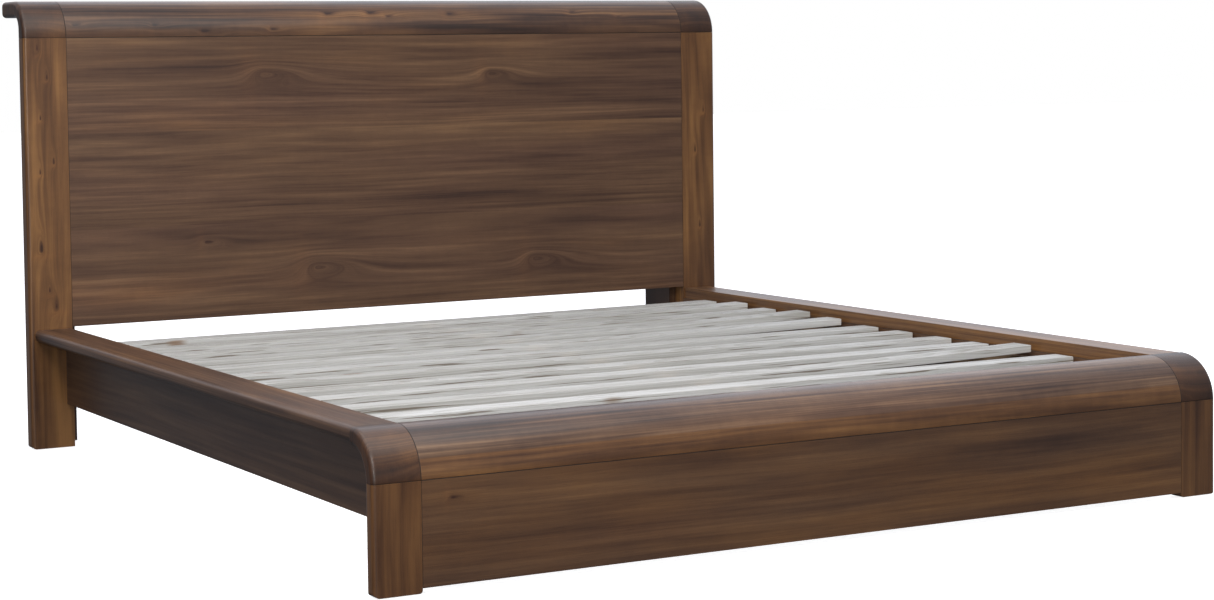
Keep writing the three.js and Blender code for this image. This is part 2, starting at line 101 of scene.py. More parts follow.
def add_softbox(name, place, target, size, power, colour):
    data = bpy.data.lights.new(name, "AREA")
    data.shape = "RECTANGLE"
    data.size = size[0]
    data.size_y = size[1]
    data.energy = power
    data.color = colour
    light = bpy.data.objects.new(name, data)
    bpy.context.scene.collection.objects.link(light)
    light.location = place
    aim = Vector(target) - Vector(place)
    light.rotation_euler = aim.to_track_quat("-Z", "Y").to_euler()


def room_light(tree):
    """How bright the room is in each direction; its far wall is bright and has a window."""
    direction = tree.nodes.new("ShaderNodeTexCoord").outputs["Generated"]
    right, away, height = axes(tree, direction, "XYZ")
    ceiling = smooth(height, -0.05, 0.9) * 0.34
    far_wall = smooth(right * 0.8 + away * 0.6, 0.2, 0.95) * (smooth(height, 0.04, 0.34) * 0.6 + 0.4)
    left_wall = smooth(away * 0.6 - right * 0.8, 0.2, 0.85)
    window = smooth(away, 0.4, 0.8) * smooth(height, 0.22, 0.42) * smooth(height * -1.0, -0.75, -0.55)
    above_floor = smooth(height, -0.5, -0.1) * 0.8 + 0.2
    room = (ceiling + far_wall * 0.85 + 0.24) * (left_wall * -0.3 + 1.0)
    return (room + window * 0.6) * above_floor


def background(tree, colour):
    node = tree.nodes.new("ShaderNodeBackground")
    node.inputs["Color"].default_value = (*colour, 1.0)
    return node


def add_world():
    """The room lights the bed, and the camera sees plain white."""
    world = bpy.data.worlds.new("studio")
    bpy.context.scene.world = world
    world.use_nodes = True
    tree = world.node_tree
    tree.nodes.clear()
    room = background(tree, (0.90, 0.95, 1.05))
    tree.links.new(room_light(tree).socket, room.inputs["Strength"])
    backdrop = background(tree, (1.0, 1.0, 1.0))
    seen = tree.nodes.new("ShaderNodeLightPath").outputs["Is Camera Ray"]
    mixer = tree.nodes.new("ShaderNodeMixShader")
    tree.links.new(seen, mixer.inputs[0])
    tree.links.new(room.outputs[0], mixer.inputs[1])
    tree.links.new(backdrop.outputs[0], mixer.inputs[2])
    output = tree.nodes.new("ShaderNodeOutputWorld")
    tree.links.new(mixer.outputs[0], output.inputs["Surface"])


def add_lights():
    scene = bpy.context.scene
    scene.view_settings.view_transform = "Standard"
    scene.view_settings.look = "None"
    add_world()
    warm = (1.0, 0.97, 0.93)
    cool = (0.80, 0.88, 1.0)
    pale = (0.94, 0.96, 1.0)
    add_softbox("overhead", (-0.9, -1.1, 3.2), (-0.3, -0.5, 0.4), (4.4, 3.2), 95.0, warm)
    add_softbox("front", (-3.0, -4.6, 3.6), (-0.6, 0.0, 0.5), (1.8, 1.4), 90.0, warm)
    add_softbox("low_front", (-3.6, -5.0, 1.2), (-0.6, 0.0, 0.5), (1.6, 1.4), 66.0, warm)
    add_softbox("left_strip", (-5.0, -3.2, 1.6), (-1.0, -1.1, 0.4), (0.16, 2.4), 8.0, pale)
    add_softbox("low_card", (1.0, -6.5, 1.4), (-0.6, 1.0, 0.8), (2.5, 2.0), 9.0, cool)


def add_floor():
    bm = bmesh.new()
    bmesh.ops.create_grid(bm, x_segments=8, y_segments=8, size=30.0)
    floor = link_mesh("floor", bm)
    material, shader = new_material("pale_floor")
    x, y, z = object_axes(material.node_tree, "XYZ")
    mottle = noise(x * 3.0, y * 3.0, z, detail=3.0)
    link_colour(shader, ramp(mottle * 0.5 + 0.5, (0.0, (0.86, 0.86, 0.87)), (1.0, (0.90, 0.90, 0.91))))
    shader.inputs["Roughness"].default_value = 0.8
    shader.inputs["Specular IOR Level"].default_value = 0.1
    shader.inputs["Emission Color"].default_value = (1.0, 1.0, 1.0, 1.0)
    shader.inputs["Emission Strength"].default_value = 0.8
    floor.data.materials.append(material)
    floor.visible_diffuse = False
    floor.visible_glossy = False


# ---- Node helpers ----


class Field:
    """A number that varies over a surface, held as a node socket, with arithmetic."""

    def __init__(self, tree, socket):
        self.tree = tree
        self.socket = socket

    def math(self, operation, *others, clamp=False):
        node = self.tree.nodes.new("ShaderNodeMath")
        node.operation = operation
        node.use_clamp = clamp
        for slot, value in zip(node.inputs, (self, *others)):
            feed(self.tree, slot, value)
        return Field(self.tree, node.outputs[0])

    def __add__(self, other):
        return self.math("ADD", other)

    def __sub__(self, other):
        return self.math("SUBTRACT", other)

    def __mul__(self, other):
        return self.math("MULTIPLY", other)

    def __truediv__(self, other):
        return self.math("DIVIDE", other)

    def power(self, other):
        return self.math("POWER", other)

    def floor(self):
        return self.math("FLOOR")

    def fraction(self):
        return self.math("FRACT")

    def root(self):
        return self.math("SQRT")

    def exponential(self):
        return self.math("EXPONENT")

    def clamped(self):
        return self.math("ADD", 0.0, clamp=True)


def feed(tree, slot, value):
    """Gives an input socket a field or a plain number."""
    if isinstance(value, Field):
        tree.links.new(value.socket, slot)
    else:
        slot.default_value = value


def vector(*parts):
    tree = next(part.tree for part in parts if isinstance(part, Field))
    node = tree.nodes.new("ShaderNodeCombineXYZ")
    for slot, part in zip(node.inputs, parts):
        feed(tree, slot, part)
    return node.outputs[0]


def noise(along, across, depth, detail=2.0, roughness=0.5):
    """Smooth noise about zero, mostly between -0.6 and 0.6."""
    place = vector(along, across, depth)
    tree = next(part.tree for part in (along, across, depth) if isinstance(part, Field))
    node = tree.nodes.new("ShaderNodeTexNoise")
    node.inputs["Scale"].default_value = 1.0
    node.inputs["Detail"].default_value = detail
    node.inputs["Roughness"].default_value = roughness
    tree.links.new(place, node.inputs["Vector"])
    return Field(tree, node.outputs[0]) * 2.0 - 1.0


def chance(value):
    """A random number from 0 to 1 for each value."""
    node = value.tree.nodes.new("ShaderNodeTexWhiteNoise")
    node.noise_dimensions = "1D"
    value.tree.links.new(value.socket, node.inputs["W"])
    return Field(value.tree, node.outputs["Value"])


def smooth(value, low, high):
    """0 below low, 1 above high and a soft step between them."""
    node = value.tree.nodes.new("ShaderNodeMapRange")
    node.interpolation_type = "SMOOTHSTEP"
    node.inputs["From Min"].default_value = low
    node.inputs["From Max"].default_value = high
    value.tree.links.new(value.socket, node.inputs["Value"])
    return Field(value.tree, node.outputs["Result"])


def ramp(value, *stops):
    """The colour for each value, from (place, colour) stops."""
    node = value.tree.nodes.new("ShaderNodeValToRGB")
    elements = node.color_ramp.elements
    while len(elements) < len(stops):
        elements.new(0.5)
    for element, (place, colour) in zip(elements, stops):
        element.position = place
        element.color = (*colour, 1.0)
    value.tree.links.new(value.socket, node.inputs["Fac"])
    return node.outputs["Color"]


def blend_colours(factor, first, second, kind="MIX"):
    """Mixes two colours, each a colour socket or a plain colour."""
    tree = factor.tree
    node = tree.nodes.new("ShaderNodeMix")
    node.data_type = "RGBA"
    node.blend_type = kind
    node.clamp_factor = True
    tree.links.new(factor.socket, node.inputs["Factor"])
    for slot, colour in zip((node.inputs[6], node.inputs[7]), (first, second)):
        if isinstance(colour, tuple):
            slot.default_value = (*colour, 1.0)
        else:
            tree.links.new(colour, slot)
    return node.outputs[2]


def axes(tree, socket, order):
    """A vector's coordinates in the order given, such as "ZXY"."""
    node = tree.nodes.new("ShaderNodeSeparateXYZ")
    tree.links.new(socket, node.inputs[0])
    return [Field(tree, node.outputs[letter]) for letter in order]


def object_axes(tree, order):
    """The piece's own coordinates in the order given."""
    return axes(tree, tree.nodes.new("ShaderNodeTexCoord").outputs["Object"], order)


def facing_y(tree):
    """1 on faces that look along Y and 0 on those that look along X or Z; these get painted light."""
    normal = tree.nodes.new("ShaderNodeNewGeometry").outputs["Normal"]
    (along_normal,) = axes(tree, normal, "Y")
    return smooth(along_normal.math("ABSOLUTE"), 0.5, 0.9)


def new_material(name):
    material = bpy.data.materials.new(name)
    material.use_nodes = True
    tree = material.node_tree
    tree.nodes.clear()
    shader = tree.nodes.new("ShaderNodeBsdfPrincipled")
    output = tree.nodes.new("ShaderNodeOutputMaterial")
    tree.links.new(shader.outputs[0], output.inputs["Surface"])
    return material, shader


def link_colour(shader, socket):
    shader.id_data.links.new(socket, shader.inputs["Base Color"])


def link_roughness(shader, rough):
    shader.id_data.links.new(rough.socket, shader.inputs["Roughness"])


def link_bump(shader, height, depth, strength):
    tree = shader.id_data
    node = tree.nodes.new("ShaderNodeBump")
    node.inputs["Distance"].default_value = depth
    node.inputs["Strength"].default_value = strength
    tree.links.new(height.socket, node.inputs["Height"])
    tree.links.new(node.outputs["Normal"], shader.inputs["Normal"])


def edge_marks(tree):
    """How far a face is a joint's edge and how far a worn, open edge."""
    node = tree.nodes.new("ShaderNodeAttribute")
    node.attribute_name = "edge"
    mark = Field(tree, node.outputs["Fac"])
    return (mark * -1.0).clamped(), mark.clamped()


# ---- Walnut ----

GRAIN_INPUTS = (
    "Along",
    "Across",
    "Depth",
    "Seed",
    "Start",
    "Strip",
    "Heart",
    "Cut",
    "Tone",
    "Gold",
    "Contrast",
    "Mottle",
    "Bulge",
)


BROWNS = (
    (0.00, (0.022, 0.010, 0.006)),
    (0.28, (0.052, 0.024, 0.013)),
    (0.50, (0.088, 0.044, 0.023)),
    (0.72, (0.128, 0.068, 0.035)),
    (1.00, (0.200, 0.112, 0.056)),
)


def strip_place(across, start, strip):
    """The number of the strip that a point is in, and its distance from the strip's middle."""
    index = ((across - start) / strip).floor()
    return index, across - start - (index + 0.5) * strip


def ring_radius(given, lot, local):
    """Distance from the wavering heart of a strip's rings, which bulge round the knots."""
    along = given["Along"]
    sway = noise(along * 0.5, lot, 0.5) * 0.010
    sway = sway + noise(along * 2.2, local * 4.0, lot) * 0.0012
    sway = sway + noise(along * 11.0, local * 40.0, lot) * 0.0003
    heart = given["Heart"] + (chance(lot + 1.7) - 0.5) * given["Strip"] * 0.8
    from_heart = local - heart + sway
    dip = given["Cut"] * (chance(lot + 2.9) * 0.6 + 0.7) + noise(along * 0.9, lot, 3.5) * given["Cut"] * 0.12
    dip = dip + given["Depth"]
    return (from_heart * from_heart + dip * dip).root() + given["Bulge"]


def tinted_brown(shade, plum, honey, speck):
    """Brown wood, in places tinted plum or honey, with dark pores."""
    brown = ramp(shade, *BROWNS)
    brown = blend_colours(plum * 0.55, brown, (0.86, 0.80, 1.02), "MULTIPLY")
    brown = blend_colours(honey * 0.80, brown, (1.34, 1.10, 0.62), "MULTIPLY")
    return blend_colours(speck * 0.35, brown, (0.45, 0.42, 0.42), "MULTIPLY")


def draw_grain(given):
    """Colour, roughness and height of walnut cut from strips."""
    along, across, depth = given["Along"], given["Across"], given["Depth"]
    index, local = strip_place(across, given["Start"], given["Strip"])
    lot = index * 7.31 + given["Seed"]
    radius = ring_radius(given, lot, local)

    broad = noise(radius * 26.0, along * 0.7, lot)
    medium = noise(radius * 120.0, along * 1.3, lot, detail=2.0)
    fine = noise(radius * 380.0, along * 2.6, lot, detail=2.0)
    vein = smooth(noise(radius * 60.0, along * 0.9, lot + 0.4, detail=2.0), 0.18, 0.42)
    ring = (radius * 150.0 + noise(radius * 40.0, along * 0.5, lot) * 1.5).fraction().power(4.0)
    fibre = noise(along * 10.0, across * 480.0, depth * 480.0, detail=2.0)
    pore = noise(along * 45.0, across * 1600.0, depth * 1600.0, detail=1.0)
    figure = noise(along * 42.0, local * 22.0, depth * 22.0 + lot, detail=2.0)
    cloud = noise(along * 3.0, local * 12.0, depth * 12.0 + lot, detail=3.0)

    streaks = broad * 0.55 + medium * 0.60 + fine * 0.60 - ring * 0.12 - vein * 0.26
    shade = streaks * given["Contrast"] + given["Tone"] + 0.56
    shade = shade + (chance(lot + 5.3) - 0.5) * 0.06
    shade = shade + fibre * 0.12 + (figure * 0.06 + cloud * 0.26) * given["Mottle"]
    plum = smooth(noise(along * 0.8, local * 6.0, lot, detail=1.0) - given["Gold"], -0.35, 0.55)
    honey = smooth(broad * 0.6 + cloud * 0.5 + given["Gold"] * 1.4, 0.0, 1.1)
    speck = smooth(pore * -1.0, 0.15, 0.5)

    colour = tinted_brown(shade.clamped(), plum, honey, speck)
    rough = fibre * 0.05 - fine * 0.05 + speck * 0.08 + 0.40
    height = fibre * 0.5 + fine * 0.3 - speck * 0.6 - ring * 0.2
    return colour, rough.socket, height.socket


def grain_group():
    """The node group that all the walnut shares."""
    tree = bpy.data.node_groups.new("walnut_grain", "ShaderNodeTree")
    for name in GRAIN_INPUTS:
        tree.interface.new_socket(name, in_out="INPUT", socket_type="NodeSocketFloat")
    tree.interface.new_socket("Colour", in_out="OUTPUT", socket_type="NodeSocketColor")
    tree.interface.new_socket("Roughness", in_out="OUTPUT", socket_type="NodeSocketFloat")
    tree.interface.new_socket("Height", in_out="OUTPUT", socket_type="NodeSocketFloat")
    node = tree.nodes.new("NodeGroupInput")
    given = {name: Field(tree, node.outputs[name]) for name in GRAIN_INPUTS}
    output = tree.nodes.new("NodeGroupOutput")
    for slot, socket in zip(output.inputs, draw_grain(given)):
        tree.links.new(socket, slot)
    return tree


def add_knots(along, across, knots):
    """How far the rings bulge round the knots, with dark cores, weak in large knots, and a painted sheen
    beside each.
    """
    bulge = core = painted_sheen = along * 0.0
    for knot_along, knot_across, size in knots:
        offset = along - knot_along
        to_along = offset.math("MAXIMUM", 0.0) / (size * 4.5) + offset.math("MINIMUM", 0.0) / (size * 1.7)
        to_across = (across - knot_across) / size
        far = to_along * to_along + to_across * to_across
        wide = to_across * to_across * 0.12
        beside = (to_along + 0.9) * (to_along + 0.9) * 3.0
        bulge = bulge + (far.root() * -1.4).exponential() * size * 0.9
        core = core + (far * -5.0).exponential() * min(1.0, 0.014 / size)
        painted_sheen = painted_sheen + ((wide + beside) * -1.0).exponential()
    return bulge, core, painted_sheen


def lacquer(shader, group, colour, coat):
    """Gives the grain its dark joints, worn edges and satin lacquer."""
    tree = shader.id_data
    joint, worn = edge_marks(tree)
    colour = blend_colours(joint * 0.8, colour, (0.010, 0.006, 0.004))
    colour = blend_colours(worn * 0.25, colour, (0.21, 0.13, 0.075))
    link_colour(shader, colour)
    link_roughness(shader, Field(tree, group.outputs["Roughness"]) + worn * 0.25 + joint * 0.2)
    shader.inputs["Specular IOR Level"].default_value = 0.42
    shader.inputs["Coat Weight"].default_value = coat
    shader.inputs["Coat Roughness"].default_value = 0.22
    link_bump(shader, Field(tree, group.outputs["Height"]), 0.0003, 0.35)


def walnut(
    name,
    order,
    seed,
    start,
    strip,
    heart=0.0,
    cut=0.03,
    tone=0.0,
    gold=0.0,
    contrast=1.0,
    mottle=0.6,
    knots=(),
    coat=0.25,
    sheen_band=None,
):
    """Stained, satin-lacquered walnut with its grain along the first of the axes in order."""
    material, shader = new_material(name)
    tree = material.node_tree
    along, across, depth = object_axes(tree, order)
    bulge, core, painted_sheen = add_knots(along, across, knots)
    # Painted reflection: the wood is tinted golden below the sheen band and plum above it, where the curl
    # faces up.
    if sheen_band is not None:
        gold = smooth(across, *sheen_band) * 1.3 + gold
    group = tree.nodes.new("ShaderNodeGroup")
    group.node_tree = GRAIN
    cutting = (seed, start, strip, heart, cut)
    look = (tone, gold, contrast, mottle)
    for slot, value in zip(group.inputs, (along, across, depth, *cutting, *look, bulge)):
        feed(tree, slot, value)
    colour = group.outputs["Colour"]
    if knots:
        # Painted sheen: a lighter, golden streak beside each knot.
        colour = blend_colours(painted_sheen * 0.25, colour, (1.5, 1.35, 1.15), "MULTIPLY")
        colour = blend_colours(core * 0.90, colour, (0.24, 0.15, 0.18), "MULTIPLY")
    lacquer(shader, group, colour, coat)
    return material


# ---- Raw pine, steel and plastic ----


PINE_KNOT = 0.13


def pine_knots(along, local, lot):
    """Dark knots scattered over the boards."""
    tree = along.tree
    node = tree.nodes.new("ShaderNodeTexVoronoi")
    node.inputs["Scale"].default_value = 1.0
    tree.links.new(vector(along * 3.2, local * 17.0, lot), node.inputs["Vector"])
    return smooth(Field(tree, node.outputs["Distance"]) * -1.0, -PINE_KNOT, -PINE_KNOT * 0.35)


def pine_rings(along, local, depth, lot):
    """Slow changes of shade from ring to ring, and the dark line of each ring's late wood."""
    sway = noise(along * 1.1, lot, 0.5) * 0.030 + noise(along * 5.0, local * 14.0, lot) * 0.005
    offset = local + sway + (chance(lot) - 0.5) * 0.09
    dip = noise(along * 1.6, lot, 4.5) * 0.03 + depth * 0.8 + 0.012
    radius = (offset * offset + dip * dip).root()
    broad = noise(radius * 60.0, along * 0.5, lot)
    return broad, (radius * 210.0 + broad * 1.2).fraction().power(3.0)


def pine(name, order, seed, start, strip, pale, dark):
    """Sawn softwood without finish, one board to a strip, with painted light on faces that look along Y."""
    material, shader = new_material(name)
    tree = material.node_tree
    along, across, depth = object_axes(tree, order)
    index, local = strip_place(across, start, strip)
    lot = index * 5.77 + seed
    broad, late = pine_rings(along, local, depth, lot)
    fibre = noise(along * 4.0, across * 700.0, depth * 700.0)
    saw = noise(along * 260.0, across * 6.0, depth * 6.0)
    patch = noise(along * 1.1, local * 14.0, lot, detail=2.0)
    streak = noise(along * 0.8, local * 110.0, depth * 110.0 + lot)
    split = smooth(noise(along * 4.5, local * 260.0, depth * 260.0 + lot, detail=1.0), 0.25, 0.36)

    shade = broad * 0.45 + patch * 0.4 + fibre * 0.14 + (chance(lot + 3.1) - 0.5) * 0.35 + 0.5
    shade = (shade + streak * 0.4 - late * 0.36).clamped()
    middle = tuple((a + b) / 2 for a, b in zip(pale, dark))
    colour = ramp(shade, (0.0, dark), (0.45, middle), (1.0, pale))
    colour = blend_colours(split * 0.85, colour, (0.14, 0.11, 0.08))
    colour = blend_colours(pine_knots(along, local, lot) * 0.8, colour, (0.20, 0.12, 0.07))
    worn = edge_marks(tree)[1]
    colour = blend_colours(worn * 0.25, colour, tuple(0.8 * c for c in dark))
    # Painted light: faces that look along Y, such as the slats' long edges, are brightened by a third.
    colour = blend_colours(facing_y(tree), colour, (1.34, 1.34, 1.33), "MULTIPLY")
    link_colour(shader, colour)
    link_roughness(shader, fibre * 0.1 + 0.72)
    shader.inputs["Specular IOR Level"].default_value = 0.25
    link_bump(shader, fibre * 0.6 + saw * 0.4 - late * 0.3, 0.0004, 0.5)
    return material


def zinc_steel():
    """Zinc-plated pressed steel with a mottled, slightly brushed skin."""
    material, shader = new_material("zinc_steel")
    x, y, z = object_axes(material.node_tree, "XYZ")
    spangle = noise(x * 140.0, y * 140.0, z * 140.0, detail=3.0)
    brushed = noise(x * 60.0, y * 60.0, z * 1500.0)
    stain = smooth(noise(x * 25.0, y * 25.0, z * 25.0, detail=4.0), 0.15, 0.6)
    tint = ramp(spangle * 0.7 + 0.5, (0.0, (0.42, 0.43, 0.45)), (1.0, (0.68, 0.69, 0.70)))
    link_colour(shader, blend_colours(stain * 0.5, tint, (0.36, 0.35, 0.33)))
    shader.inputs["Metallic"].default_value = 1.0
    link_roughness(shader, brushed * 0.08 + stain * 0.15 + 0.36)
    link_bump(shader, brushed * 0.5 + spangle * 0.5, 0.00005, 0.4)
    return material


def black_plastic():
    """Moulded nylon with a fine spark-eroded texture and dust in its hollows."""
    material, shader = new_material("black_plastic")
    x, y, z = object_axes(material.node_tree, "XYZ")
    skin = noise(x * 2400.0, y * 2400.0, z * 2400.0, detail=2.0)
    dust = smooth(noise(x * 60.0, y * 60.0, z * 60.0, detail=4.0), 0.0, 0.7)
    tint = ramp(skin * 0.5 + 0.5, (0.0, (0.010, 0.010, 0.011)), (1.0, (0.028, 0.028, 0.030)))
    link_colour(shader, blend_colours(dust * 0.3, tint, (0.09, 0.085, 0.08)))
    link_roughness(shader, skin * 0.12 + dust * 0.2 + 0.46)
    link_bump(shader, skin, 0.00008, 0.5)
    return material


# ---- Mesh helpers ----


def link_mesh(name, bm):
    mesh = bpy.data.meshes.new(name)
    bm.to_mesh(mesh)
    bm.free()
    piece = bpy.data.objects.new(name, mesh)
    bpy.context.scene.collection.objects.link(piece)
    return piece


def arc(centre, radius, start, end, steps):
    """Points round part of a circle, between two angles in degrees."""
    points = []
    for i in range(steps + 1):
        angle = math.radians(start + (end - start) * i / steps)
        reach = Vector((math.cos(angle), math.sin(angle))) * radius
        points.append(Vector(centre) + reach)
    return points


def sided_arc(centre, radius, start, end, side):
    """An arc drawn for the right-hand side and mirrored for the left."""
    points = arc((0.0, 0.0), radius, start, end, 8)
    return [Vector((centre[0] + side * p.x, centre[1] + p.y)) for p in points]


def drawn_in(outline, depth):
    """The outline moved in by depth, point by point."""
    count = len(outline)
    area = sum(a.cross(b) for a, b in zip(outline, outline[1:] + outline[:1]))
    side = 1.0 if area > 0 else -1.0
    moved = []
    for i, point in enumerate(outline):
        before = (point - outline[i - 1]).normalized()
        after = (outline[(i + 1) % count] - point).normalized()
        first = Vector((-before.y, before.x)) * side
        second = Vector((-after.y, after.x)) * side
        mitre = (first + second) / (1.0 + first.dot(second))
        moved.append(point + mitre * depth)
    return moved


def skin_rings(bm, rings):
    """Joins rings of corners into a closed solid."""
    count = len(rings[0])
    for first, second in zip(rings, rings[1:]):
        for i in range(count):
            j = (i + 1) % count
            bm.faces.new((first[i], first[j], second[j], second[i]))
    bm.faces.new(rings[0])
    bm.faces.new(rings[-1])
    bmesh.ops.recalc_face_normals(bm, faces=bm.faces)


def swept(outline, stations, along):
    """A closed solid with the outline at each station, a (place, depth drawn in) pair."""
    bm = bmesh.new()
    rings = []
    for place, depth in stations:
        points = [along(place, point) for point in drawn_in(outline, depth)]
        rings.append([bm.verts.new(point) for point in points])
    skin_rings(bm, rings)
    return bm


def along_x(place, point):
    return Vector((place, point.x, point.y))


def along_y(place, point):
    return Vector((point.x, place, point.y))


def along_z(place, point):
    return Vector((point.x, point.y, place))


def rounded_stations(start, end, radius, steps):
    """Stations from a plain end to a rounded one."""
    sign = 1.0 if end > start else -1.0
    stations = [(start, 0.0)]
    for i in range(steps + 1):
        angle = math.pi / 2 * i / steps
        place = end - sign * radius * (1.0 - math.sin(angle))
        stations.append((place, radius * (1.0 - math.cos(angle))))
    return stations


def trim(bm, point, outward):
    """Cuts off what lies beyond a plane and closes the cut."""
    parts = bm.verts[:] + bm.edges[:] + bm.faces[:]
    bmesh.ops.bisect_plane(bm, geom=parts, plane_co=point, plane_no=outward, clear_outer=True, dist=1e-7)
    open_edges = [edge for edge in bm.edges if edge.is_boundary]
    bmesh.ops.holes_fill(bm, edges=open_edges, sides=0)
    bmesh.ops.recalc_face_normals(bm, faces=bm.faces)


def board(low, high):
    bm = bmesh.new()
    bmesh.ops.create_cube(bm, size=1.0)
    size = Vector(high) - Vector(low)
    bmesh.ops.scale(bm, vec=size, verts=bm.verts)
    bmesh.ops.translate(bm, vec=(Vector(low) + Vector(high)) / 2, verts=bm.verts)
    return bm


def round_toe(bm, x, z, radius, side):
    """Rounds a lower corner of an upright's front view."""
    centre = Vector((x - side * radius, 0.0, z + radius))
    steps = 8
    for i in range(steps):
        angle = math.pi / 2 * (i + 0.5) / steps
        outward = Vector((side * math.cos(angle), 0.0, -math.sin(angle)))
        reach = radius * math.cos(math.pi / 4 / steps)
        trim(bm, centre + outward * reach, outward)


def mark_edges(mesh, joints):
    """Marks the small bevels: -1 at a joint's plane and 1 on an open edge."""
    marks = [0.0] * len(mesh.polygons)
    for face in mesh.polygons:
        if face.material_index == 1:
            near = any(abs(face.center[axis] - place) < JOINT_REACH for axis, place in joints)
            marks[face.index] = -1.0 if near else 1.0
        face.material_index = 0
    attribute = mesh.attributes.new("edge", "FLOAT", "FACE")
    attribute.data.foreach_set("value", marks)


def finish_piece(node, bm, material, joints=(), width=ARRIS):
    """Bevels a piece's sharp edges, evens its shading and puts it in its CAD node's place."""
    piece = link_mesh(f"look_{node}", bm)
    piece.data.materials.append(material)
    piece.data.materials.append(material)
    piece.data.shade_smooth()
    bevel = piece.modifiers.new("arris", "BEVEL")
    bevel.width = width
    bevel.segments = 2
    bevel.limit_method = "ANGLE"
    bevel.angle_limit = math.radians(38.0)
    bevel.material = 1
    piece.modifiers.new("even_shading", "WEIGHTED_NORMAL")
    bpy.context.view_layer.update()
    seen = piece.evaluated_get(bpy.context.evaluated_depsgraph_get())
    piece.data = bpy.data.meshes.new_from_object(seen)
    piece.modifiers.clear()
    mark_edges(piece.data, joints)
    piece.data.materials.pop()
    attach(piece, BODY)
    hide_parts(node)


# ---- Places read from the CAD model ----

head_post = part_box("headboard_post_right")
head_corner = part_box("headboard_corner_right")
foot_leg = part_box("footboard_leg_right")
foot_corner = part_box("footboard_corner_right")

HEAD_INNER, HEAD_FACE = head_post[0].x, head_post[0].y
HEAD_OUTER, HEAD_BACK, HEAD_SEAM = head_post[1]
HEAD_REAR, HEAD_TOP = head_corner[1].y, head_corner[1].z
FOOT_INNER, FOOT_FACE = foot_leg[0].x, foot_leg[0].y
FOOT_OUTER, FOOT_BACK, FOOT_SEAM = foot_leg[1]
FOOT_EDGE, RIM = foot_corner[1].y, foot_corner[1].z
FOOT_THICKNESS = FOOT_BACK - FOOT_FACE


# ---- Headboard ----


def head_roll_outline(below):
    """Side view of the headboard's curl, with `below` more of it under the seam."""
    underside = HEAD_TOP - HEAD_FLANGE
    rear = HEAD_REAR - HEAD_FLANGE_ROUND
    fillet = (HEAD_BACK + HEAD_FILLET, underside - HEAD_FILLET)
    outline = [Vector((HEAD_FACE, HEAD_SEAM - below))]
    outline += arc((HEAD_FACE + HEAD_ROLL_RADIUS, HEAD_SEAM), HEAD_ROLL_RADIUS, 180, 90, 32)
    outline += arc((rear, HEAD_TOP - HEAD_FLANGE_ROUND), HEAD_FLANGE_ROUND, 90, 0, 8)
    outline += arc((rear, underside + HEAD_FLANGE_ROUND), HEAD_FLANGE_ROUND, 0, -90, 8)
    outline += arc(fillet, HEAD_FILLET, 90, 180, 14)
    outline.append(Vector((HEAD_BACK, HEAD_SEAM - below)))
    return outline


def add_head_roll(name, stations, joints):
    bm = swept(head_roll_outline(2 * END_ROUND), stations, along_x)
    trim(bm, (0, 0, HEAD_SEAM + SEAM_GAP), (0, 0, -1))
    finish_piece(name, bm, MATERIALS[name], joints)


def upright_plan(inner, outer, front, back, side):
    """Plan of an upright, with its two outer edges rounded."""
    x = outer - side * END_ROUND
    outline = [Vector((inner, front))]
    outline += sided_arc((x, front + END_ROUND), END_ROUND, -90, 0, side)
    outline += sided_arc((x, back - END_ROUND), END_ROUND, 0, 90, side)
    outline.append(Vector((inner, back)))
    return outline


def add_head_post(side, sign):
    name = f"headboard_post_{side}"
    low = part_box(name)[0].z
    outline = upright_plan(sign * HEAD_INNER, sign * HEAD_OUTER, HEAD_FACE, HEAD_BACK, sign)
    bm = swept(outline, [(low, 0.0), (HEAD_SEAM, 0.0)], along_z)
    round_toe(bm, sign * HEAD_OUTER, low, OUTER_TOE_ROUND, sign)
    joints = ((2, HEAD_SEAM), (0, sign * HEAD_INNER))
    finish_piece(name, bm, MATERIALS[name], joints)


def add_panel(name, inner, seam):
    """A board between two uprights, up to the seam under the curl."""
    low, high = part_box(name)
    reach = inner - SEAM_GAP
    bm = board((-reach, low.y, low.z), (reach, high.y, seam))
    joints = ((2, seam), (0, reach), (0, -reach))
    finish_piece(name, bm, MATERIALS[name], joints)


def add_head_return(side):
    name = f"headboard_return_{side}"
    low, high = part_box(name)
    round_centre = (low.y + HEAD_FILLET, high.z - HEAD_FILLET)
    outline = [Vector((low.y, low.z)), Vector((high.y, low.z)), Vector((high.y, high.z))]
    outline += arc(round_centre, HEAD_FILLET, 90, 180, 10)
    bm = swept(outline, [(low.x, 0.0), (high.x, 0.0)], along_x)
    finish_piece(name, bm, MATERIALS[name], ((1, low.y),))


def add_headboard():
    ends = ((2, HEAD_SEAM), (0, HEAD_INNER), (0, -HEAD_INNER))
    stations = [(-HEAD_INNER, 0.0), (HEAD_INNER, 0.0)]
    add_head_roll("headboard_top_rail", stations, ends)
    add_panel("headboard_panel", HEAD_INNER, HEAD_SEAM)
    for side, sign in SIDES:
        add_head_post(side, sign)
        inner = sign * (HEAD_INNER + SEAM_GAP)
        stations = rounded_stations(inner, sign * HEAD_OUTER, END_ROUND, 7)
        joints = ((2, HEAD_SEAM), (0, sign * HEAD_INNER))
        add_head_roll(f"headboard_corner_{side}", stations, joints)
        add_head_return(side)


# ---- Footboard ----


def foot_roll_outline(extra):
    """Side view of the footboard's curl, with `extra` more of it at both ends."""
    centre = (FOOT_FACE + FOOT_ROLL_RADIUS, FOOT_SEAM)
    hollow = FOOT_ROLL_RADIUS - FOOT_THICKNESS
    outline = [Vector((FOOT_FACE, FOOT_SEAM - extra))]
    outline += arc(centre, FOOT_ROLL_RADIUS, 180, 90, 32)
    outline.append(Vector((FOOT_EDGE + extra, RIM)))
    outline.append(Vector((FOOT_EDGE + extra, RIM - FOOT_THICKNESS)))
    outline += arc(centre, hollow, 90, 180, 24)
    outline.append(Vector((FOOT_BACK, FOOT_SEAM - extra)))
    return outline


